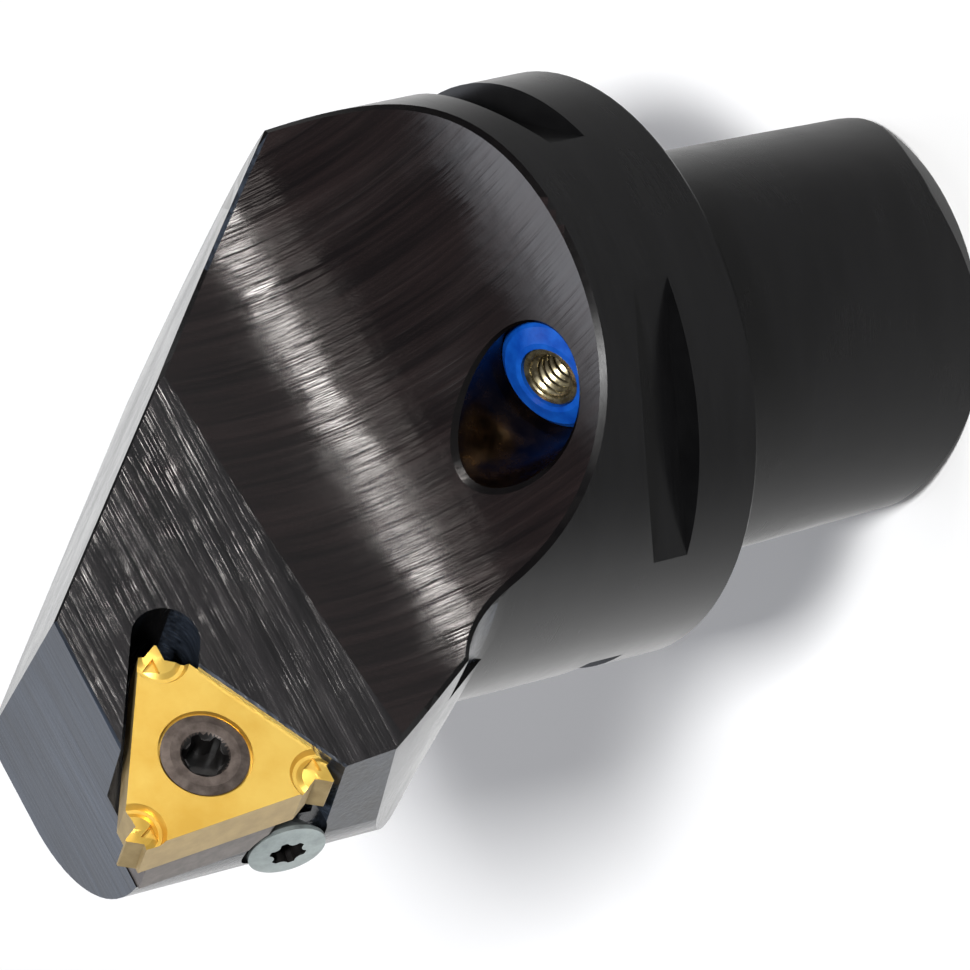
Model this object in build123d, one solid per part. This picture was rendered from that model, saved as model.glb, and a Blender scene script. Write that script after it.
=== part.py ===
from build123d import *
import math
import os

# Threading tool head with a polygon taper shank. Millimetres.
# The origin is the middle of the flange contact face. +Z runs out to the head,
# -X to the cutting corner and -Y out of the rake side.

# Flange and head blank
flange_d = 40.0
flange_edge = 0.5
head_reach = 52.0
underside = -15.0
shoulder_z = 19.5
lug_side = 26.5
lug_edge_r = 10.6
lug_edge_n = -5.4
lug_top = 8.0
lug_wall_reach = 30.5
lug_wall_top_r = 19.74
lug_wall_top_a = 40.0
lug_wall_low_r = 20.2
lug_wall_low_a = 31.5
blend_r = 4.7
blend_n = 0.3
front_z = 47.85
front_edge_n = 1.2
front_relief_deg = 5.5
back_diag = 37.45

# Gripper slots, four around the flange
slot_depth = 2.34
slot_start = 5.1
slot_width = 2.7
slot_flank_deg = 35.0
slot_angles = (45.0, 135.0, 225.0, 315.0)

# Rake side scoop, its axis a little above the flange rim
scoop_r = 19.15
scoop_z = 30.1
scoop_over = 3.1
scoop_n = flange_d / 2 + scoop_over
edge_break = 0.3
facet_break = 0.15
facet_edge_length = 9.0

# Polygon taper shank, ISO 26623 size 40
taper_gauge_d = 28.0
taper_e = 0.9
taper_ratio = 20.0
shank_length = 24.0
shank_chamfer = 1.6
shank_chamfer_run = 2.2

# Shank bores
entry_d = 18.5
entry_depth = 11.0
groove_d = 21.0
groove_depth = 5.5
groove_width = 3.2
pilot_d = 15.0
pilot_depth = 17.0
clamp_thread_minor_d = 12.4
clamp_thread_end = 2.0
chamber_d = 8.0
chamber_end = 8.5
bore_chamfer = 1.0
drill_point = 2.0

# Insert seat
seat_tilt_deg = 10.0
seat_helix_deg = 1.5
corner_z = 50.0
corner_r = 26.0
facet_lift = 0.492

# Insert, lay-down type with a 9.525 inscribed circle
inradius = 4.7625
insert_thickness = 3.44
corner_cut = 6.45
tooth_tip = 7.45
tooth_offset = 3.76
tooth_half_base = 0.65
tooth_half_flat = 0.07
tooth_root = 0.3
hollow_r = 1.95
hollow_depth = 0.42
hollow_dome = 0.12
hollow_flare = 0.6
hollow_wall = 0.25
hollow_floor = 0.25
hollow_slope = 0.35
hollow_dome_drop = 0.1
hollow_x = 6.55
hollow_y = 3.45
notch_side = 1.15
notch_depth = 0.5
notch_x = 5.78
notch_y = 3.87
insert_hole_d = 4.0
countersink_d = 6.15
countersink_rim_d = 6.2
countersink_rim_depth = 0.45
countersink_half_deg = 35.0

# Shim
shim_thickness = 3.2
shim_corner_cut = 5.6
shim_inset = 0.3
shim_step = 1.0
shim_hole_d = 4.5

# Pocket
pocket_gap = 0.7
ledge_depth = 4.3
relief_r = 2.25
relief_back = 7.66
relief_depth = 8.0
open_side = 12.0
relief_out = 5.0

# Insert screw
head_d = 5.8
head_land_d = 4.6
head_slope = 0.14
head_sink = 0.05
screw_d = 3.5
screw_reach = 6.2
screw_point = 0.5
lobe_d = 3.05
lobe_lead_d = 3.3
lobe_lead = 0.35
lobe_depth = 2.2

# Shim screw, square to the shim's outer edge
shim_screw_a = 36.3
shim_screw_out = 27.0
shim_screw_n = -5.45
shim_screw_lean_deg = 10.4
shim_head_d = 5.2
shim_head_edge = 0.3
shim_cone_deg = 40.0
shim_dome = 0.25
shim_screw_d = 2.4
shim_screw_length = 9.0
shim_lobe_d = 2.5
shim_lobe_depth = 1.0
shim_bore_gap = 0.4
hole_end_gap = 0.5

# Coolant nozzle, placed round the scoop and in from the flange rim
nozzle_around_deg = 32.3
nozzle_sink = 2.97
nozzle_in = 6.8545
nozzle_swing_deg = 25.26
nozzle_rise_deg = 3.15
nozzle_bore_d = 8.3
ring_height = 3.0
ring_round = 0.5
ring_lip = 0.4
ring_lip_height = 0.35
sleeve_d = 4.2
sleeve_length = 8.0
sleeve_bore_d = 3.3
sleeve_proud = 0.2
sleeve_edge = 0.1
feed_d = 2.6
feed_z = 5.6

# Running clearance on the radius between separate pieces
clearance = 0.05

# How far cutting shapes start above a face, and how far they run past the metal
cut_lead = 1.0
cut_reach = 1.5 * flange_d


def at(a, r, n):
    """Point from distance out, distance to the corner side and height on the rake side."""
    return Vector(-r, -n, a)


section_plane = Plane(origin=(0, 0, 0), x_dir=(0, 0, 1), z_dir=(1, 0, 0))
plan_plane = Plane(origin=(0, 0, 0), x_dir=(0, 0, 1), z_dir=(0, -1, 0))
front_plane = Plane(origin=(0, 0, 0), x_dir=(-1, 0, 0), z_dir=(0, 0, 1))


def polygon_section(diameter, height):
    """Three-lobed curve of constant width with one lobe on the rake side."""
    points = []
    for step in range(72):
        g = math.radians(5 * step)
        x = diameter / 2 * math.cos(g) - 2 * taper_e * math.cos(2 * g) + taper_e * math.cos(4 * g)
        y = diameter / 2 * math.sin(g) + 2 * taper_e * math.sin(2 * g) + taper_e * math.sin(4 * g)
        points.append((x, y))
    outline = Spline(points, periodic=True)
    face = make_face(outline.edges())
    return front_plane.offset(height) * Rot(0, 0, -90) * face


def revolved(points):
    """Solid of revolution about local Z from (radius, height) points."""
    profile = make_face(Plane.XZ * Polyline(points, close=True))
    return revolve(profile, Axis.Z)


def six_lobe(diameter, depth):
    """Six-lobe recess cut from the local XY plane downwards, one lobe at 30 degrees."""
    flutes = PolarLocations(diameter * 0.585, 6) * Circle(diameter * 0.2)
    outline = Circle(diameter / 2) - flutes
    outline = fillet(outline.vertices(), diameter * 0.045)
    return extrude(outline, -depth)


# Insert plane, tilted for the clearance under the tooth
lean = Vector(
    -math.tan(math.radians(seat_helix_deg)),
    -1.0,
    math.tan(math.radians(seat_tilt_deg)),
).normalized()
out = Vector(0, 0, 1)
along = (out - lean * out.dot(lean)).normalized()
across = lean.cross(along)
insert_centre = at(corner_z, corner_r, 0) - along * tooth_tip - across * tooth_offset
insert_plane = Plane(origin=insert_centre, x_dir=along, z_dir=lean)


def crossing(deg_one, distance_one, deg_two, distance_two):
    """Crossing of two such lines."""
    c1 = math.cos(math.radians(deg_one))
    s1 = math.sin(math.radians(deg_one))
    c2 = math.cos(math.radians(deg_two))
    s2 = math.sin(math.radians(deg_two))
    det = c1 * s2 - c2 * s1
    return (
        (distance_one * s2 - distance_two * s1) / det,
        (c1 * distance_two - c2 * distance_one) / det,
    )


def triangle(outer, rear, front, cut):
    """Three-cornered plate outline: sides at 90, 210 and 330 degrees, corners cut square."""
    order = [
        (330, front), (0, cut), (90, outer),
        (120, cut), (210, rear), (240, cut),
    ]
    points = []
    for i in range(6):
        deg_one, distance_one = order[i]
        deg_two, distance_two = order[(i + 1) % 6]
        points.append(crossing(deg_one, distance_one, deg_two, distance_two))
    return make_face(Polyline(points, close=True))


# Insert
insert_body = extrude(triangle(inradius, inradius, inradius, corner_cut), -insert_thickness)
tooth_outline = make_face(
    Polyline(
        [
            (corner_cut - tooth_root, tooth_offset - tooth_half_base),
            (corner_cut, tooth_offset - tooth_half_base),
            (tooth_tip, tooth_offset - tooth_half_flat),
            (tooth_tip, tooth_offset + tooth_half_flat),
            (corner_cut, tooth_offset + tooth_half_base),
            (corner_cut - tooth_root, tooth_offset + tooth_half_base),
        ],
        close=True,
    )
)
tooth = extrude(tooth_outline, -insert_thickness)
hollow_floor_r = hollow_r - hollow_wall
hollow = Pos(hollow_x, hollow_y) * revolved(
    [
        (0, cut_lead),
        (hollow_r + hollow_flare, cut_lead),
        (hollow_r, 0),
        (hollow_floor_r, -hollow_depth),
        (hollow_floor_r - hollow_floor, -hollow_depth),
        (hollow_floor_r - hollow_floor - hollow_slope, -hollow_dome - hollow_dome_drop),
        (0, -hollow_dome),
    ]
)
for turn in (0, 120, 240):
    insert_body += Rot(0, 0, turn) * tooth
notch_outline = Pos(notch_x, notch_y, cut_lead) * RegularPolygon(notch_side / math.sqrt(3), 3)
notch = extrude(notch_outline, -(notch_depth + cut_lead))
for turn in (0, 120, 240):
    insert_body -= Rot(0, 0, turn) * hollow
    insert_body -= Rot(0, 0, turn) * notch
countersink_run = math.tan(math.radians(countersink_half_deg))
countersink_depth = (countersink_d - insert_hole_d) / 2 / countersink_run
cone_top_r = countersink_d / 2 - countersink_rim_depth * countersink_run
insert_hole = revolved(
    [
        (0, cut_lead),
        (countersink_rim_d / 2, cut_lead),
        (countersink_rim_d / 2, -countersink_rim_depth),
        (cone_top_r, -countersink_rim_depth),
        (insert_hole_d / 2, -countersink_depth),
        (insert_hole_d / 2, -insert_thickness - cut_lead),
        (0, -insert_thickness - cut_lead),
    ]
)
insert_body -= insert_hole
threading_insert = insert_plane * insert_body

# Insert screw: its cone lies on the cone of the insert
shim_floor = insert_thickness + shim_thickness
cone_start = (countersink_d - head_d) / 2 / countersink_run
cone_end = (countersink_d - screw_d) / 2 / countersink_run
screw_tip = shim_floor + screw_reach - insert_thickness
screw_body = revolved(
    [
        (0, -head_sink),
        (head_land_d / 2, -head_sink),
        (head_d / 2, -head_sink - head_slope),
        (head_d / 2, -cone_start),
        (screw_d / 2, -cone_end),
        (screw_d / 2, -screw_tip + screw_point),
        (screw_d / 2 - screw_point, -screw_tip),
        (0, -screw_tip),
    ]
)
screw_body -= Pos(0, 0, -head_sink) * six_lobe(lobe_d, lobe_depth)
lead_in = revolved(
    [
        (0, -head_sink),
        (lobe_lead_d / 2, -head_sink),
        (lobe_lead_d / 2 - lobe_lead, -head_sink - lobe_lead),
        (0, -head_sink - lobe_lead),
    ]
)
screw_body -= lead_in
insert_screw = insert_plane * screw_body

# Shim screw
shim_screw_lean = math.radians(shim_screw_lean_deg)
shim_screw_plane = Plane(
    origin=at(shim_screw_a, shim_screw_out, shim_screw_n),
    x_dir=(0, -1, 0),
    z_dir=at(math.sin(shim_screw_lean), math.cos(shim_screw_lean), 0),
)
dome_ball_r = ((shim_head_d / 2) ** 2 + shim_dome**2) / (2 * shim_dome)
shim_cone_run = math.tan(math.radians(shim_cone_deg))
shim_head_h = shim_head_edge + ((shim_head_d - shim_screw_d) / 2 - clearance) / shim_cone_run
shim_head = revolved(
    [
        (0, 0),
        (shim_head_d / 2, 0),
        (shim_head_d / 2, -shim_head_edge),
        (shim_screw_d / 2 + clearance, -shim_head_h),
        (shim_screw_d / 2, -shim_head_h - clearance / shim_cone_run),
        (0, -shim_head_h - clearance / shim_cone_run),
    ]
)
dome_cap = Pos(0, 0, shim_dome - dome_ball_r) * Sphere(dome_ball_r)
dome_limit = Cylinder(shim_head_d / 2, cut_lead, align=(Align.CENTER, Align.CENTER, Align.MIN))
shim_head += dome_cap & dome_limit
shim_stem = Pos(0, 0, -shim_head_h) * Cylinder(
    shim_screw_d / 2,
    shim_screw_length,
    align=(Align.CENTER, Align.CENTER, Align.MAX),
)
shim_screw_body = shim_head + shim_stem
shim_screw_body -= Pos(0, 0, shim_dome) * six_lobe(shim_lobe_d, shim_dome + shim_lobe_depth)
shim_screw = shim_screw_plane * shim_screw_body
shim_screw_room = shim_screw_plane * (
    Pos(0, 0, -shim_head_h)
    * Cylinder(
        shim_head_d / 2 + shim_bore_gap,
        cut_reach,
        align=(Align.CENTER, Align.CENTER, Align.MIN),
    )
)
shim_stem_room = shim_screw_plane * Cylinder(
    shim_screw_d / 2 + clearance,
    shim_head_h + shim_screw_length + hole_end_gap,
    align=(Align.CENTER, Align.CENTER, Align.MAX),
)

# Shim: full size above the ledge, set back on the front side below it
shim_upper = Pos(0, 0, -insert_thickness) * extrude(
    triangle(inradius - shim_inset, inradius, inradius - shim_inset, shim_corner_cut),
    -(ledge_depth - clearance - insert_thickness),
)
shim_lower = Pos(0, 0, -ledge_depth + clearance) * extrude(
    triangle(inradius - shim_inset, inradius, inradius - shim_step, shim_corner_cut),
    -(shim_floor - ledge_depth + clearance),
)
shim_body = shim_upper + shim_lower
shim_body -= Cylinder(shim_hole_d / 2, cut_reach)
shim = insert_plane * shim_body
shim -= shim_screw_room
shim -= shim_stem_room

# Nozzle ring and sleeve, on the slanted nozzle bore
nozzle_around = math.radians(nozzle_around_deg)
nozzle_swing = math.radians(nozzle_swing_deg)
nozzle_rise = math.radians(nozzle_rise_deg)
nozzle_a = scoop_z - (scoop_r + nozzle_sink) * math.cos(nozzle_around)
nozzle_n = scoop_n - (scoop_r + nozzle_sink) * math.sin(nozzle_around)
nozzle_r = math.sqrt((flange_d / 2 - nozzle_in) ** 2 - nozzle_n**2)
nozzle_axis = at(
    math.cos(nozzle_rise) * math.cos(nozzle_swing),
    math.cos(nozzle_rise) * math.sin(nozzle_swing),
    math.sin(nozzle_rise),
)
nozzle_plane = Plane(origin=at(nozzle_a, nozzle_r, nozzle_n), x_dir=(0, -1, 0), z_dir=nozzle_axis)
ring_r = nozzle_bore_d / 2 - clearance
sleeve_r = sleeve_d / 2
ring_body = revolved(
    [
        (sleeve_r + clearance, ring_lip_height),
        (sleeve_r + clearance + ring_lip, ring_lip_height),
        (ring_r - ring_round, 0),
        (ring_r, -ring_round),
        (ring_r, -ring_height),
        (sleeve_r + clearance, -ring_height),
    ]
)
nozzle_ring = nozzle_plane * ring_body
sleeve_body = revolved(
    [
        (sleeve_bore_d / 2 + sleeve_edge, sleeve_proud),
        (sleeve_r - sleeve_edge, sleeve_proud),
        (sleeve_r, sleeve_proud - sleeve_edge),
        (sleeve_r, -sleeve_length),
        (sleeve_bore_d / 2, -sleeve_length),
        (sleeve_bore_d / 2, sleeve_proud - sleeve_edge),
    ]
)
nozzle_sleeve = nozzle_plane * sleeve_body
nozzle_room = nozzle_plane * (
    Pos(0, 0, -ring_height)
    * Cylinder(
        nozzle_bore_d / 2,
        cut_reach,
        align=(Align.CENTER, Align.CENTER, Align.MIN),
    )
)
sleeve_room = nozzle_plane * Cylinder(
    sleeve_r + clearance,
    sleeve_length,
    align=(Align.CENTER, Align.CENTER, Align.MAX),
)

# Body: turned blank, shank and lug
blank = revolved(
    [
        (0, 0),
        (flange_d / 2 - flange_edge, 0),
        (flange_d / 2, flange_edge),
        (flange_d / 2, head_reach),
        (0, head_reach),
    ]
)
end_d = taper_gauge_d - shank_length / taper_ratio
taper = loft([polygon_section(taper_gauge_d, 0.0), polygon_section(end_d, -shank_length)])
lobe_r = end_d / 2 + taper_e
turned_end = revolved(
    [
        (0, cut_lead),
        (flange_d / 2, cut_lead),
        (flange_d / 2, -shank_length + shank_chamfer_run),
        (lobe_r, -shank_length + shank_chamfer_run),
        (lobe_r - shank_chamfer, -shank_length),
        (0, -shank_length),
    ]
)
taper = taper & turned_end

lug_profile = make_face(
    [
        Line((0, underside), (lug_side - lug_edge_r, underside)),
        RadiusArc(
            (lug_side - lug_edge_r, underside),
            (lug_side, lug_edge_n),
            -lug_edge_r,
        ),
        Line((lug_side, lug_edge_n), (lug_side, lug_top)),
        Line((lug_side, lug_top), (0, lug_top)),
        Line((0, lug_top), (0, underside)),
    ]
)
lug = extrude(front_plane.offset(shoulder_z) * lug_profile, head_reach - shoulder_z)


def lug_plan(height, end_r, side_a):
    """Plan of the lug at one height, from its rear end to the front."""
    outline = Polyline(
        [
            (shoulder_z, -1),
            (shoulder_z, end_r),
            (side_a, lug_wall_reach),
            (head_reach, lug_wall_reach),
            (head_reach, -1),
        ],
        close=True,
    )
    return plan_plane.offset(height) * make_face(outline)


# The slanting wall of the lug twists a little from its top to the underside
lug = lug & loft(
    [
        lug_plan(underside, lug_wall_low_r, lug_wall_low_a),
        lug_plan(lug_top, lug_wall_top_r, lug_wall_top_a),
    ],
    ruled=True,
)

# Above the height of the cutting corner the lug runs into the flange with a turned blend
blend_mid = blend_r * math.sqrt(0.5)
blend_profile = make_face(
    [
        Line((0, shoulder_z), (flange_d / 2, shoulder_z)),
        ThreePointArc(
            (flange_d / 2, shoulder_z),
            (flange_d / 2 + blend_r - blend_mid, shoulder_z + blend_mid),
            (flange_d / 2 + blend_r, shoulder_z + blend_r),
        ),
        Line((flange_d / 2 + blend_r, shoulder_z + blend_r), (flange_d, shoulder_z + blend_r)),
        Line((flange_d, shoulder_z + blend_r), (flange_d, head_reach)),
        Line((flange_d, head_reach), (0, head_reach)),
        Line((0, head_reach), (0, shoulder_z)),
    ]
)
blend = revolve(Plane.XZ * blend_profile, Axis.Z)
upper_room = Pos(0, -blend_n, 0) * Box(
    4 * flange_d, flange_d, 4 * head_reach, align=(Align.CENTER, Align.MAX, Align.CENTER)
)
lug = (lug - upper_room) + (lug & upper_room & blend)

body = blank + lug

underside_cut = make_face(
    Polyline(
        [
            (shoulder_z, underside),
            (cut_reach, underside),
            (cut_reach, -flange_d),
            (shoulder_z, -flange_d),
        ],
        close=True,
    )
)
body -= extrude(section_plane * underside_cut, cut_reach, both=True)

back_cut = make_face(
    Polyline(
        [
            (back_diag - cut_reach, -cut_reach),
            (back_diag + cut_reach, cut_reach),
            (back_diag + 2 * cut_reach, cut_reach),
            (back_diag + 2 * cut_reach, -cut_reach),
        ],
        close=True,
    )
)
body -= extrude(plan_plane * back_cut, cut_reach, both=True)

relief_run = math.tan(math.radians(front_relief_deg))
front_cut = make_face(
    Polyline(
        [
            (front_z + cut_reach * relief_run, front_edge_n + cut_reach),
            (front_z - cut_reach * relief_run, front_edge_n - cut_reach),
            (front_z + cut_reach, front_edge_n - cut_reach),
            (front_z + cut_reach, front_edge_n + cut_reach),
        ],
        close=True,
    )
)
body -= extrude(section_plane * front_cut, cut_reach, both=True)

scoop = Pos(0, -scoop_n, scoop_z) * Rot(0, 90, 0) * Cylinder(scoop_r, 2 * cut_reach)
body -= scoop
facet_reach = (corner_z - scoop_z) / math.cos(math.radians(seat_tilt_deg)) - tooth_tip
facet_cut = Pos(-facet_reach, -cut_reach, facet_lift) * Box(
    cut_reach, 2 * cut_reach, cut_reach, align=(Align.MIN, Align.MIN, Align.MIN)
)
body -= insert_plane * facet_cut

# Gripper slots
slot_floor = flange_d / 2 - slot_depth
slot_top = slot_start + slot_width
slot_out = slot_depth + cut_lead
slot_rise = slot_out * math.tan(math.radians(slot_flank_deg))
slot_profile = make_face(
    Polyline(
        [
            (slot_floor, slot_start),
            (slot_floor + slot_out, slot_start),
            (slot_floor + slot_out, slot_top + slot_rise),
            (slot_floor, slot_top),
        ],
        close=True,
    )
)
slot = extrude(Plane.XZ * slot_profile, flange_d / 2, both=True)
for angle in slot_angles:
    body -= Rot(0, 0, angle) * slot

# Insert pocket with a ledge on the front side, and a relief slot at the rear corner
front_wall = inradius + pocket_gap
relief_wall = front_wall - relief_r
relief_x, relief_y = crossing(330, relief_wall, 60, -relief_back)
relief_foot = relief_wall * math.cos(math.radians(30)) + relief_back / 2
pocket_upper = make_face(
    Polyline(
        [
            crossing(330, front_wall, 60, -relief_back),
            crossing(330, front_wall, 90, open_side),
            crossing(210, inradius, 90, open_side),
            crossing(210, inradius, 300, relief_foot),
        ],
        close=True,
    )
)
pocket_lower = make_face(
    Polyline(
        [
            crossing(210, inradius, 330, inradius - shim_step + clearance),
            crossing(330, inradius - shim_step + clearance, 90, open_side),
            crossing(210, inradius, 90, open_side),
        ],
        close=True,
    )
)
cut_start = insert_plane.offset(facet_lift + cut_lead)
body -= cut_start * extrude(pocket_upper, -(ledge_depth + facet_lift + cut_lead))
body -= cut_start * extrude(pocket_lower, -(shim_floor + facet_lift + cut_lead))
relief_slot = Pos(relief_x, relief_y) * Rot(0, 0, 60) * (
    Circle(relief_r) + Pos(relief_out / 2, 0) * Rectangle(relief_out, 2 * relief_r)
)
body -= cut_start * extrude(relief_slot, -(relief_depth + facet_lift + cut_lead))


def on_scoop(point):
    """Whether a point lies in the scoop surface."""
    return abs(math.hypot(point.Y + scoop_n, point.Z - scoop_z) - scoop_r) < 0.01


def on_facet(point):
    """Whether a point lies in the facet round the insert."""
    return abs((point - insert_centre).dot(lean) - facet_lift) < 0.01


def edges_in(shape, test):
    """Edges whose ends and middle all lie in one surface."""
    return [edge for edge in shape.edges() if all(test(edge @ part) for part in (0.1, 0.5, 0.9))]


# Broken edges round the scoop and the facet
rim_edges = [edge for edge in edges_in(body, on_scoop) if not on_facet(edge @ 0.5)]
body = body.chamfer(edge_break, None, rim_edges)
facet_edges = [
    edge
    for edge in edges_in(body, on_facet)
    if edge.length > facet_edge_length and not on_scoop(edge @ 0.5)
]
body = body.chamfer(facet_break, None, facet_edges)

# Screw holes
body -= insert_plane * Pos(0, 0, -shim_floor + cut_lead) * Cylinder(
    screw_d / 2 + clearance,
    screw_tip - shim_floor + cut_lead + hole_end_gap,
    align=(Align.CENTER, Align.CENTER, Align.MAX),
)
body -= shim_screw_room
body -= shim_stem_room

# Nozzle bore and its feed
body -= nozzle_room


def on_nozzle_bore(point):
    """Whether a point lies in the wall of the nozzle bore."""
    offset = point - nozzle_plane.origin
    return abs(offset.cross(nozzle_plane.z_dir).length - nozzle_bore_d / 2) < 0.01


lip_edges = [edge for edge in edges_in(body, on_nozzle_bore) if on_scoop(edge @ 0.5)]
body = body.chamfer(edge_break, None, lip_edges)
body -= sleeve_room
feed_back = (feed_z - nozzle_a) / nozzle_axis.Z
feed_r = nozzle_r - nozzle_axis.X * feed_back
feed_n = nozzle_n - nozzle_axis.Y * feed_back
feed = Pos(-feed_r, 0, feed_z) * Rot(90, 0, 0) * Cylinder(
    feed_d / 2, feed_n, align=(Align.CENTER, Align.CENTER, Align.MIN)
)
body -= feed

body += taper

# Shank bores
bores = revolved(
    [
        (0, -shank_length - cut_lead),
        (entry_d / 2 + bore_chamfer, -shank_length - cut_lead),
        (entry_d / 2 + bore_chamfer, -shank_length),
        (entry_d / 2, -shank_length + bore_chamfer),
        (entry_d / 2, -shank_length + groove_depth),
        (groove_d / 2, -shank_length + groove_depth),
        (groove_d / 2, -shank_length + groove_depth + groove_width),
        (entry_d / 2, -shank_length + groove_depth + groove_width),
        (entry_d / 2, -shank_length + entry_depth),
        (pilot_d / 2, -shank_length + entry_depth + bore_chamfer),
        (pilot_d / 2, -shank_length + pilot_depth),
        (clamp_thread_minor_d / 2, -shank_length + pilot_depth + bore_chamfer),
        (clamp_thread_minor_d / 2, clamp_thread_end),
        (chamber_d / 2, clamp_thread_end + bore_chamfer),
        (chamber_d / 2, chamber_end),
        (0, chamber_end + drill_point),
    ]
)
body -= bores
tool_body = body

nodes = {
    "tool_body": tool_body,
    "threading_insert": threading_insert,
    "insert_screw": insert_screw,
    "shim": shim,
    "shim_screw": shim_screw,
    "nozzle_ring": nozzle_ring,
    "nozzle_sleeve": nozzle_sleeve,
}
os.makedirs("parts", exist_ok=True)
for name, shape in nodes.items():
    export_step(shape, f"parts/{name}.step")
    print(name, round(shape.volume, 3))
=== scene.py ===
import math
import bpy
import numpy as np
from mathutils import Matrix, Vector


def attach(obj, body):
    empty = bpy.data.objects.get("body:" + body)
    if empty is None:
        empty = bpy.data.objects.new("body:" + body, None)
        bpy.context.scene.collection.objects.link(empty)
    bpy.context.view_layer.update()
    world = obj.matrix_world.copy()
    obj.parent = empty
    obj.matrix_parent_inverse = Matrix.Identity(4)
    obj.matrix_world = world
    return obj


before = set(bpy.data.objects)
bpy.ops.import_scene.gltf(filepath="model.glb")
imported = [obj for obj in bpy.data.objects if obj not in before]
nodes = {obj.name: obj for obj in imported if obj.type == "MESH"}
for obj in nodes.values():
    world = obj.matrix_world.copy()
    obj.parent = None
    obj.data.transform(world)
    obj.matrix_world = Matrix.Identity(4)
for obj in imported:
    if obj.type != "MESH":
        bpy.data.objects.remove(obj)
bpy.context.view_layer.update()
print("frame loaded:", ", ".join(sorted(nodes)))

mm = 0.001


# camera where the photograph was taken from: a long lens, half a metre off, rolled
cameraPlace = {
    "place": (-0.21680, -0.38496, 0.29152),
    "right": (-0.4541, -0.3479, -0.8202),
    "up": (0.7946, -0.5746, -0.1962),
    "back": (-0.403, -0.7408, 0.5374),
    "lens": 291.14, "sensor": 36.0,  # in millimetres
    "clip": (0.05, 20.0),
}


def makeCamera(p):
    data = bpy.data.cameras.new("toolCamera")
    data.sensor_width = p["sensor"]
    data.lens = p["lens"]
    data.clip_start, data.clip_end = p["clip"]
    camera = bpy.data.objects.new("toolCamera", data)
    turn = Matrix((p["right"], p["up"], p["back"])).transposed()
    camera.matrix_world = Matrix.Translation(p["place"]) @ turn.to_4x4()
    bpy.context.scene.collection.objects.link(camera)
    bpy.context.scene.camera = camera


makeCamera(cameraPlace)
print("camera set")


def linear(code):
    # sRGB hex to linear light, with full alpha
    parts = [int(code[i:i + 2], 16) / 255 for i in (1, 3, 5)]
    return tuple(c / 12.92 if c <= 0.04045 else ((c + 0.055) / 1.055) ** 2.4 for c in parts) + (1.0,)


def addNode(tree, kind, settings=None, links=None):
    # settings are attributes or input values by name or number, links are input to output socket
    node = tree.nodes.new(kind)
    for key, value in (settings or {}).items():
        if isinstance(key, int) or key in node.inputs:
            node.inputs[key].default_value = value
        else:
            setattr(node, key, value)
    for key, socket in (links or {}).items():
        tree.links.new(socket, node.inputs[key])
    return node


def newMaterial(name):
    material = bpy.data.materials.new(name)
    material.use_nodes = True
    material.node_tree.nodes.clear()
    return material, material.node_tree


def rampColours(ramp, span, p):
    # the ramp's two ends: dark at the start of the span, pale at its end
    for element, position, shade in zip(ramp.color_ramp.elements, span, ("dark", "pale")):
        element.position = position
        element.color = linear(p[shade])


# Black oxide on alloy steel: a thin magnetite film, almost black, glossy enough that the cutter marks
# under it catch the light. Pitches and depths are in millimetres, and a pitch is longest along the marks.
# The finest real marks are under 0.05 mm, so they are drawn a little coarser, to show in the render.
blackOxide = {
    # swept by a ball cutter: brown-black, and its arcs flash white where they face a lamp
    "scoop": {
        "dark": "#0a0607", "pale": "#1a1212",
        "markPitch": (0.42, 14.0, 14.0), "bandPitch": (1.5, 20.0, 20.0), "patchPitch": (6.0, 9.0, 9.0),
        "patchHeight": 1.4, "roughness": (0.12, 0.27), "bump": 1.0, "depth": 0.10, "specular": 0.6,
    },
    # milled flat beside the insert: grey-black, with straight scratchy lines towards the tip
    "facet": {
        "dark": "#0b0a0c", "pale": "#201e20",
        "markPitch": (18.0, 0.32, 0.32), "bandPitch": (26.0, 1.2, 1.2), "patchPitch": (7.0, 5.0, 5.0),
        "patchHeight": 1.8, "roughness": (0.08, 0.22), "bump": 1.0, "depth": 0.09, "specular": 0.7,
    },
    # ground end and walls of the head: blue-black and even, with fine grinding lines
    "face": {
        "dark": "#12151a", "pale": "#343b46",
        "markPitch": (12.0, 0.35, 0.35), "bandPitch": (22.0, 2.4, 2.4), "patchPitch": (12.0, 9.0, 9.0),
        "patchHeight": 0.6, "roughness": (0.15, 0.26), "bump": 1.0, "depth": 0.05, "specular": 0.6,
    },
    # broken edge round the scoop: the same black oxide, drawn darker and with little gloss; the extra
    # darkness is painted shade that keeps the edge from catching the lamps
    "rim": {
        "dark": "#060506", "pale": "#0c0a0a",
        "markPitch": (1.0, 1.0, 1.0), "bandPitch": (6.0, 6.0, 6.0), "patchPitch": (6.0, 6.0, 6.0),
        "patchHeight": 0.5, "roughness": (0.20, 0.30), "bump": 0.2, "depth": 0.05, "specular": 0.25,
    },
    # turned flange and ground shank: smooth neutral black, with rings too fine to feel
    "turned": {
        "dark": "#0a0a0b", "pale": "#111112",
        "markPitch": (3.0, 3.0, 0.12), "bandPitch": (14.0, 14.0, 2.0), "patchPitch": (6.0, 6.0, 6.0),
        "patchHeight": 0.5, "roughness": (0.20, 0.28), "bump": 0.03, "depth": 0.05, "specular": 0.5,
    },
}

# how marks, bands and patches mix on every black oxide surface
oxideMix = {
    "detail": 3.0, "grit": 0.55, "bandShare": 0.45, "patchShare": 0.55,
    "toneSpan": (0.38, 0.64), "glossSpan": (0.38, 0.62),
}


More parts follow.
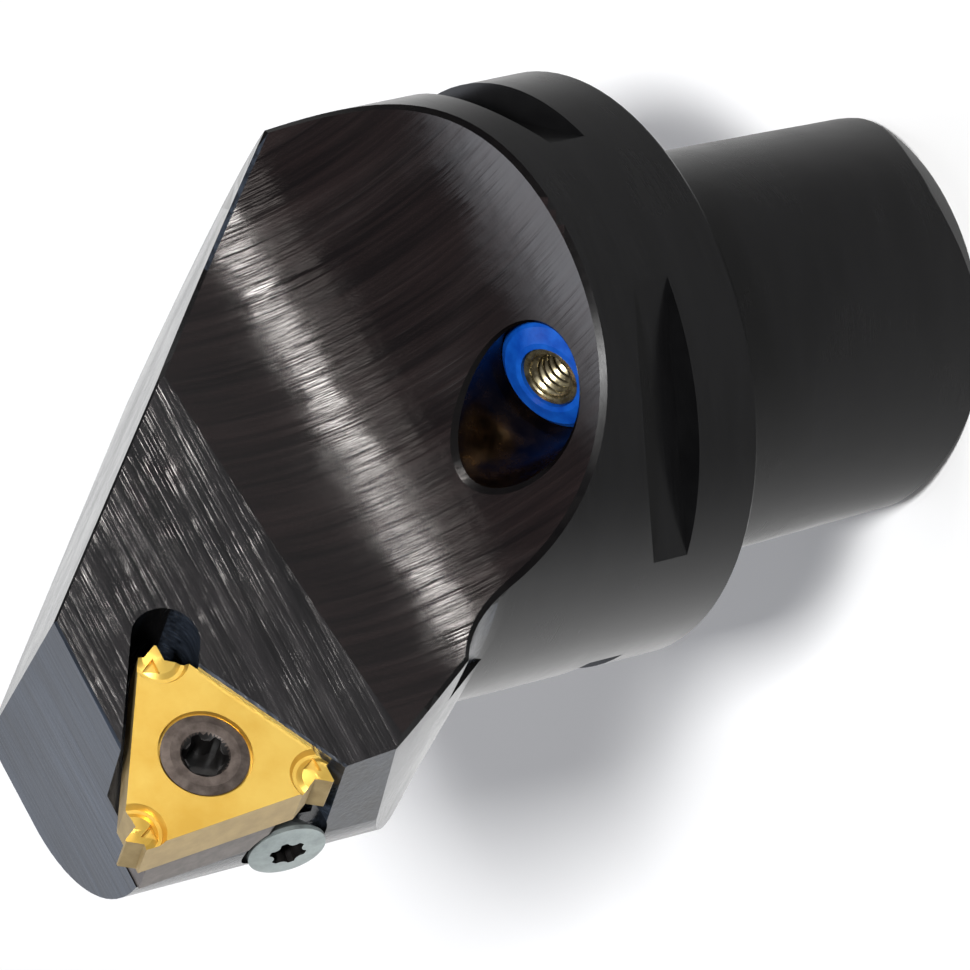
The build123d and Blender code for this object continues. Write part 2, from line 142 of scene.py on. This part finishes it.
def oxideSteel(name, p, mix):
    # fine marks, bands of marks and slow patches: colour follows the first two, gloss and height all three
    material, tree = newMaterial(name)
    place = addNode(tree, "ShaderNodeTexCoord").outputs["Object"]
    layers = []
    for key in ("markPitch", "bandPitch", "patchPitch"):
        perMetre = tuple(1 / (pitch * mm) for pitch in p[key])
        stretch = addNode(tree, "ShaderNodeMapping", {"Scale": perMetre}, {0: place})
        noise = addNode(
            tree, "ShaderNodeTexNoise", {"Scale": 1.0, "Detail": mix["detail"], "Roughness": mix["grit"]},
            {0: stretch.outputs[0]},
        )
        layers.append(noise.outputs["Fac"])
    marks, bands, patches = layers
    cut = addNode(tree, "ShaderNodeMix", {0: mix["bandShare"]}, {2: marks, 3: bands}).outputs[0]
    shape = addNode(
        tree, "ShaderNodeMath", {"operation": "MULTIPLY_ADD", 1: p["patchHeight"]}, {0: patches, 2: cut},
    ).outputs[0]
    gloss = addNode(tree, "ShaderNodeMix", {0: mix["patchShare"]}, {2: cut, 3: patches}).outputs[0]
    tone = addNode(tree, "ShaderNodeValToRGB", {}, {0: cut})
    rampColours(tone, mix["toneSpan"], p)
    sheen = addNode(
        tree, "ShaderNodeMapRange",
        {
            "From Min": mix["glossSpan"][0], "From Max": mix["glossSpan"][1],
            "To Min": p["roughness"][0], "To Max": p["roughness"][1],
        },
        {0: gloss},
    )
    height = addNode(
        tree, "ShaderNodeBump", {"Strength": p["bump"], "Distance": p["depth"] * mm}, {"Height": shape})
    shader = addNode(
        tree, "ShaderNodeBsdfPrincipled", {"Metallic": 0.0, "Specular IOR Level": p["specular"]},
        {"Base Color": tone.outputs[0], "Roughness": sheen.outputs[0], "Normal": height.outputs[0]},
    )
    addNode(tree, "ShaderNodeOutputMaterial", {}, {0: shader.outputs[0]})
    return material


# Finishes with no direction: a colour with a faint grain, its pitch in millimetres, and a gloss of its own
finishes = {
    # titanium nitride on the insert's pressed top: warm gold with a soft shine
    "nitrideFace": {
        "dark": "#e2b54e", "pale": "#ebc763", "pitch": 4.0,
        "metal": 0.75, "roughness": (0.30, 0.40), "bump": 0.06,
    },
    # the same coating on its ground flanks: paler, duller gold
    "nitrideFlank": {
        "dark": "#a48c5c", "pale": "#bda678", "pitch": 1.4,
        "metal": 0.6, "roughness": (0.36, 0.5), "bump": 0.08,
    },
    # hardened and tempered screw steel: brown-grey
    "hardenedScrew": {
        "dark": "#4b423d", "pale": "#6a605a", "pitch": 0.8,
        "metal": 0.6, "roughness": (0.34, 0.46), "bump": 0.05,
    },
    # ground carbide shim: mid grey-brown, matt
    "groundShim": {
        "dark": "#6a6461", "pale": "#8a8480", "pitch": 0.9,
        "metal": 0.5, "roughness": (0.4, 0.55), "bump": 0.08,
    },
    # bright turned steel of the shim's screw: cool light grey
    "brightScrew": {
        "dark": "#8d9696", "pale": "#a9b3b2", "pitch": 0.9,
        "metal": 0.7, "roughness": (0.3, 0.42), "bump": 0.05,
    },
    # moulded nylon ring: strong blue, satin
    "mouldedBlue": {
        "dark": "#083f9c", "pale": "#1259bc", "pitch": 1.5,
        "metal": 0.0, "roughness": (0.28, 0.36), "bump": 0.03,
    },
    # painted shade: floor and walls of the screws' sockets drawn near black, standing in for the shade in
    # the recess
    "paintedSocketShade": {
        "dark": "#0c0b0b", "pale": "#171514", "pitch": 0.5,
        "metal": 0.0, "roughness": (0.3, 0.4), "bump": 0.05,
    },
    # drilled wall of the nozzle bore: the oxide is thin there, and its reflections turn amber
    "boreOxide": {
        "dark": "#1a1109", "pale": "#3b2812", "pitch": 1.2,
        "metal": 0.9, "roughness": (0.16, 0.3), "bump": 0.1,
    },
    # tapped nickel-brass sleeve: pale straw, crisp highlights
    "threadMetal": {
        "dark": "#7a7058", "pale": "#b8ae8e", "pitch": 0.6,
        "metal": 0.9, "roughness": (0.22, 0.32), "bump": 0.03,
    },
}

# the grain that every such finish shares, its depth in millimetres
finishGrain = {"detail": 5.0, "grit": 0.6, "span": (0.35, 0.65), "depth": 0.03}


def plainFinish(name, p, grain):
    # one noise: colour, gloss and height follow it
    material, tree = newMaterial(name)
    place = addNode(tree, "ShaderNodeTexCoord").outputs["Object"]
    noise = addNode(
        tree, "ShaderNodeTexNoise",
        {"Scale": 1 / (p["pitch"] * mm), "Detail": grain["detail"], "Roughness": grain["grit"]}, {0: place},
    ).outputs["Fac"]
    tone = addNode(tree, "ShaderNodeValToRGB", {}, {0: noise})
    rampColours(tone, grain["span"], p)
    sheen = addNode(
        tree, "ShaderNodeMapRange",
        {
            "From Min": grain["span"][0], "From Max": grain["span"][1],
            "To Min": p["roughness"][0], "To Max": p["roughness"][1],
        },
        {0: noise},
    )
    height = addNode(
        tree, "ShaderNodeBump", {"Strength": p["bump"], "Distance": grain["depth"] * mm}, {"Height": noise})
    shader = addNode(
        tree, "ShaderNodeBsdfPrincipled", {"Metallic": p["metal"]},
        {"Base Color": tone.outputs[0], "Roughness": sheen.outputs[0], "Normal": height.outputs[0]},
    )
    addNode(tree, "ShaderNodeOutputMaterial", {}, {0: shader.outputs[0]})
    return material


materials = {key: oxideSteel("blackOxide" + key.capitalize(), p, oxideMix) for key, p in blackOxide.items()}
materials.update({key: plainFinish(key, p, finishGrain) for key, p in finishes.items()})
print("materials made:", len(materials))


def facePlaces(node):
    # middles, in millimetres, and directions of a node's faces
    count = len(node.data.polygons)
    middle = np.empty(count * 3, np.float32)
    facing = np.empty(count * 3, np.float32)
    node.data.polygons.foreach_get("center", middle)
    node.data.polygons.foreach_get("normal", facing)
    return middle.reshape(-1, 3) * 1000, facing.reshape(-1, 3)


def fromLine(middle, point, line):
    # distance of each face's middle from a line through a point
    return np.linalg.norm(np.cross(middle - np.array(point), np.array(line)), axis=1)


def dress(node, names, which):
    # one slot for each name, and each face wears the one whose number it has
    node.data.materials.clear()
    for name in names:
        node.data.materials.append(materials[name])
    node.data.polygons.foreach_set("material_index", np.asarray(which, np.int32))
    node.data.update()


# the coolant nozzle's line, in millimetres: the bore in the body and the thread in the sleeve lie along it
nozzle = {"mouth": (-6.75, -11.28, 11.4), "line": (-0.426, -0.055, 0.903), "bore": 4.15}

# where the cutters ran on the body, in millimetres
cuts = {
    "scoopMiddle": (-23.1, 30.1), "scoopRadius": 19.15,  # the cylinder's line lies along X, at this Y and Z
    "corner": (-26.0, 0.0, 50.0),
    "seatLean": (-math.tan(math.radians(1.5)), -1.0, math.tan(math.radians(10.0))),
    "facetLift": 0.492,  # the facet stands this far over the cutting corner, along the seat's lean
    "flangeRadius": 20.0, "shoulder": 19.5,  # the head begins above the shoulder
}
lean = np.array(cuts["seatLean"]) / np.linalg.norm(cuts["seatLean"])

# how near to a cut, in millimetres, and how well turned to it a face has to be, to wear its finish
nearness = {
    "scoop": 0.12, "rim": 0.45, "facet": 0.03, "bore": 0.05, "clear": 0.1,
    "endTurn": 0.6, "wallTurn": 0.6, "wallEdge": 0.3, "acrossScoop": 0.05, "facetTurn": 0.99,
    "rimFront": -4.0, "rimLow": 10.5, "boreFront": -6.0, "boreLow": 6.0, "boreHigh": 30.0,
}


def dressBody(p, near, hole):
    # turned finish all over, then each cut's own finish on the faces that lie on it, and a darker copy of
    # the black oxide as painted shade on the scoop's broken edge
    middle, facing = facePlaces(nodes["tool_body"])
    x, y, z = middle.T
    sideways = abs(facing[:, 0])
    fromScoop = abs(np.hypot(y - p["scoopMiddle"][0], z - p["scoopMiddle"][1]) - p["scoopRadius"])
    fromFacet = abs((middle - np.array(p["corner"])) @ lean - p["facetLift"])
    fromBore = fromLine(middle, hole["mouth"], hole["line"]) - hole["bore"]
    head = z > p["shoulder"] - near["clear"]
    proud = (np.hypot(x, y) > p["flangeRadius"] + near["clear"]) | (x > 0)
    wall = head & proud & (sideways > near["wallTurn"]) & (abs(facing[:, 1]) < near["wallEdge"])
    names = ["scoop", "facet", "face", "turned", "boreOxide", "rim"]
    number = {name: i for i, name in enumerate(names)}
    which = np.full(len(middle), number["turned"])
    which[wall | (head & (facing[:, 2] > near["endTurn"]))] = number["face"]
    which[(fromScoop < near["scoop"]) & (sideways < near["acrossScoop"])] = number["scoop"]
    which[(fromFacet < near["facet"]) & (facing @ lean > near["facetTurn"])] = number["facet"]
    # the scoop's broken edge wears the rim copy of the black oxide: real oxide, with painted shade in its
    # darker colour and lower gloss
    broken = (which == number["turned"]) & (fromScoop < near["rim"]) & (sideways > near["acrossScoop"])
    which[broken & (y < near["rimFront"]) & (z > near["rimLow"])] = number["rim"]
    inHole = (fromBore < near["bore"]) & (y < near["boreFront"])
    which[inHole & (z > near["boreLow"]) & (z < near["boreHigh"])] = number["boreOxide"]
    dress(nodes["tool_body"], names, which)


dressBody(cuts, nearness, nozzle)

# a point and the direction of each screw's line, its socket's radius, and how far under the screw's top the
# painted shade inside the socket starts, in millimetres
sockets = {
    "insert_screw": {
        "point": (-22.276, -1.392, 42.659), "line": lean, "radius": 1.72, "under": 0.07,
        "finish": "hardenedScrew",
    },
    "shim_screw": {
        "point": (-27.0, 5.45, 36.3), "line": (-0.9836, 0.0, 0.1805), "radius": 1.5, "under": 0.1,
        "finish": "brightScrew",
    },
}


def dressScrew(name, p):
    middle = facePlaces(nodes[name])[0]
    lift = middle @ np.array(p["line"])
    # faces inside the socket wear painted shade, a near-black finish in place of the recess's shade
    socketShadeFaces = (fromLine(middle, p["point"], p["line"]) < p["radius"]) & (lift < lift.max() - p["under"])
    dress(nodes[name], [p["finish"], "paintedSocketShade"], socketShadeFaces)


for name, p in sockets.items():
    dressScrew(name, p)

# the insert's flanks turn this far from its top and start this far under it, in millimetres
insertFlank = {"turn": 0.5, "under": 0.6}


def dressInsert(p):
    middle, facing = facePlaces(nodes["threading_insert"])
    lift = middle @ lean
    flank = (facing @ lean < p["turn"]) & (lift < lift.max() - p["under"])
    dress(nodes["threading_insert"], ["nitrideFace", "nitrideFlank"], flank)


dressInsert(insertFlank)

# pieces that wear one finish all over
oneFinish = {"shim": "groundShim", "nozzle_ring": "mouldedBlue", "nozzle_sleeve": "threadMetal"}
for name, finish in oneFinish.items():
    dress(nodes[name], [finish], np.zeros(len(nodes[name].data.polygons)))
print("nodes dressed")


# thread inside the nozzle sleeve, in millimetres
threadShape = {
    "core": 1.32, "root": 1.63, "wall": 0.01, "pitch": 0.62, "sharpness": 0.7,
    "top": -0.1, "length": 6.6, "around": 64, "rows": 110,
}


def makeThread(p, hole):
    # inner radius = core + (root - core) x a rounded saw of (depth / pitch + turn); the outer wall is a tube
    turn = np.linspace(0, 2 * np.pi, p["around"], endpoint=False)[:, None]
    depth = np.linspace(0, p["length"], p["rows"])[None, :]
    saw = 0.5 + 0.5 * np.cos(2 * np.pi * (depth / p["pitch"] + turn / (2 * np.pi)))
    inner = p["core"] + (p["root"] - p["core"]) * saw ** p["sharpness"]
    outer = np.full((p["around"], 2), p["root"] + p["wall"])
    radius = np.concatenate([inner, outer], axis=1)
    along = np.concatenate([depth, [[p["length"], 0.0]]], axis=1) + 0 * turn
    line = Vector(hole["line"]).normalized()
    side = line.orthogonal().normalized()
    axes = np.array([side, line.cross(side), line])
    local = np.stack([radius * np.cos(turn), radius * np.sin(turn), p["top"] - along], axis=-1)
    places = (local.reshape(-1, 3) @ axes + np.array(hole["mouth"])) * mm

    # each quad joins a turn to the next one and a row to the next one, both closed
    rows = radius.shape[1]
    i = np.arange(p["around"])[:, None]
    j = np.arange(rows)[None, :]
    nextTurn = (i + 1) % p["around"]
    nextRow = (j + 1) % rows
    corners = [i * rows + j, nextTurn * rows + j, nextTurn * rows + nextRow, i * rows + nextRow]
    quads = np.stack(corners, axis=-1).reshape(-1, 4)
    mesh = bpy.data.meshes.new("sleeveThread")
    mesh.from_pydata(places.tolist(), [], quads.tolist())
    mesh.materials.append(materials["threadMetal"])
    mesh.polygons.foreach_set("use_smooth", np.ones(len(quads), bool))
    mesh.update()
    piece = bpy.data.objects.new("sleeveThread", mesh)
    bpy.context.scene.collection.objects.link(piece)
    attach(piece, "root")


makeThread(threadShape, nozzle)
print("sleeve thread made")


# floor under the shank end: white paper that keeps the shadow, a little whiter of itself for the camera.
# In reflections the sheet glows instead of showing the lamps: a painted reflection that fades along Y, dim
# in front and bright behind, standing in for a room.
floorSheet = {
    "height": -0.02402, "reach": 3.0, "paper": "#f6f6f6", "ownWhite": 0.05,
    "fade": (-28.0, 46.0), "reflected": (0.28, 1.12),  # the fade is in millimetres
}


def makeFloor(p):
    material, tree = newMaterial("whitePaper")
    white = {"Color": linear("#ffffff")}
    rays = addNode(tree, "ShaderNodeLightPath")
    amount = addNode(
        tree, "ShaderNodeMath", {"operation": "MULTIPLY", 1: p["ownWhite"]},
        {0: rays.outputs["Is Camera Ray"]},
    )
    paper = addNode(tree, "ShaderNodeBsdfDiffuse", {"Color": linear(p["paper"])})
    glow = addNode(tree, "ShaderNodeEmission", white, {"Strength": amount.outputs[0]})
    lit = addNode(tree, "ShaderNodeAddShader", {}, {0: paper.outputs[0], 1: glow.outputs[0]})
    place = addNode(tree, "ShaderNodeTexCoord").outputs["Object"]
    depth = addNode(tree, "ShaderNodeSeparateXYZ", {}, {0: place}).outputs["Y"]
    fade = addNode(
        tree, "ShaderNodeMapRange",
        {
            "interpolation_type": "SMOOTHSTEP", "From Min": p["fade"][0] * mm, "From Max": p["fade"][1] * mm,
            "To Min": p["reflected"][0], "To Max": p["reflected"][1],
        },
        {0: depth},
    )
    # reflected rays see the sheet glow by the fade: a painted reflection, not light from the lamps
    mirrored = addNode(tree, "ShaderNodeEmission", white, {"Strength": fade.outputs[0]})
    both = addNode(
        tree, "ShaderNodeMixShader", {},
        {0: rays.outputs["Is Glossy Ray"], 1: lit.outputs[0], 2: mirrored.outputs[0]},
    )
    addNode(tree, "ShaderNodeOutputMaterial", {}, {0: both.outputs[0]})
    r, h = p["reach"], p["height"]
    mesh = bpy.data.meshes.new("floorSheet")
    mesh.from_pydata([(-r, -r, h), (r, -r, h), (r, r, h), (-r, r, h)], [], [(0, 1, 2, 3)])
    mesh.materials.append(material)
    piece = bpy.data.objects.new("floorSheet", mesh)
    bpy.context.scene.collection.objects.link(piece)


makeFloor(floorSheet)
print("floor laid")


# soft boxes: direction from the head, distance and size in metres, radiance and tint
softBoxes = {
    # the main light, small enough for a shadow with an edge
    "key": {
        "from": (-0.268, -0.642, 0.718), "far": 1.3,
        "size": (0.19, 0.19), "glow": 178.0, "colour": "#ffffff",
    },
    # narrow strips that draw the scoop's bright band and its softer neighbour
    "scoopStrip": {
        "from": (0.42, -0.90, 0.07), "far": 0.7,
        "size": (0.035, 0.13), "glow": 56.0, "colour": "#fffaf6",
    },
    "scoopFill": {
        "from": (0.42, -0.89, 0.17), "far": 0.7,
        "size": (0.04, 0.42), "glow": 4.0, "colour": "#fff4ee",
    },
    # overhead pair, for the violet-grey sheen on the scoop's upper end
    "top": {
        "from": (0.42, 0.44, 0.80), "far": 0.8,
        "size": (0.45, 0.40), "glow": 1.6, "colour": "#f0f2fa",
    },
    "topWide": {
        "from": (0.42, 0.30, 0.86), "far": 0.8,
        "size": (0.45, 0.66), "glow": 1.0, "colour": "#f0f2fa",
    },
    # behind the head, mirrored in its front face
    "back": {
        "from": (0.40, 0.83, 0.385), "far": 0.9,
        "size": (0.4, 0.4), "glow": 1.15, "colour": "#eaf0fc",
    },
}
lampAim = (0.0, 0.0, 0.025)  # the middle of the object, in metres


def makeSoftBox(name, p):
    # energy in watts is radiance x pi x area
    data = bpy.data.lights.new(name, "AREA")
    data.shape = "RECTANGLE"
    data.size, data.size_y = p["size"]
    data.energy = p["glow"] * math.pi * p["size"][0] * p["size"][1]
    data.color = linear(p["colour"])[:3]
    lamp = bpy.data.objects.new(name, data)
    back = Vector(p["from"]).normalized()
    side = Vector((0, 0, 1)).cross(back).normalized()
    turn = Matrix((side, back.cross(side), back)).transposed()
    lamp.matrix_world = Matrix.Translation(Vector(lampAim) + back * p["far"]) @ turn.to_4x4()
    bpy.context.scene.collection.objects.link(lamp)


for name, p in softBoxes.items():
    makeSoftBox(name, p)

# pale room round the object
room = {"colour": "#fafafb", "strength": 0.12}


def makeRoom(p):
    world = bpy.data.worlds.new("studio")
    world.use_nodes = True
    tree = world.node_tree
    tree.nodes.clear()
    air = addNode(tree, "ShaderNodeBackground", {"Color": linear(p["colour"]), "Strength": p["strength"]})
    addNode(tree, "ShaderNodeOutputWorld", {}, {0: air.outputs[0]})
    bpy.context.scene.world = world


makeRoom(room)
bpy.context.scene.view_settings.view_transform = "Standard"
print("lamps and room set")
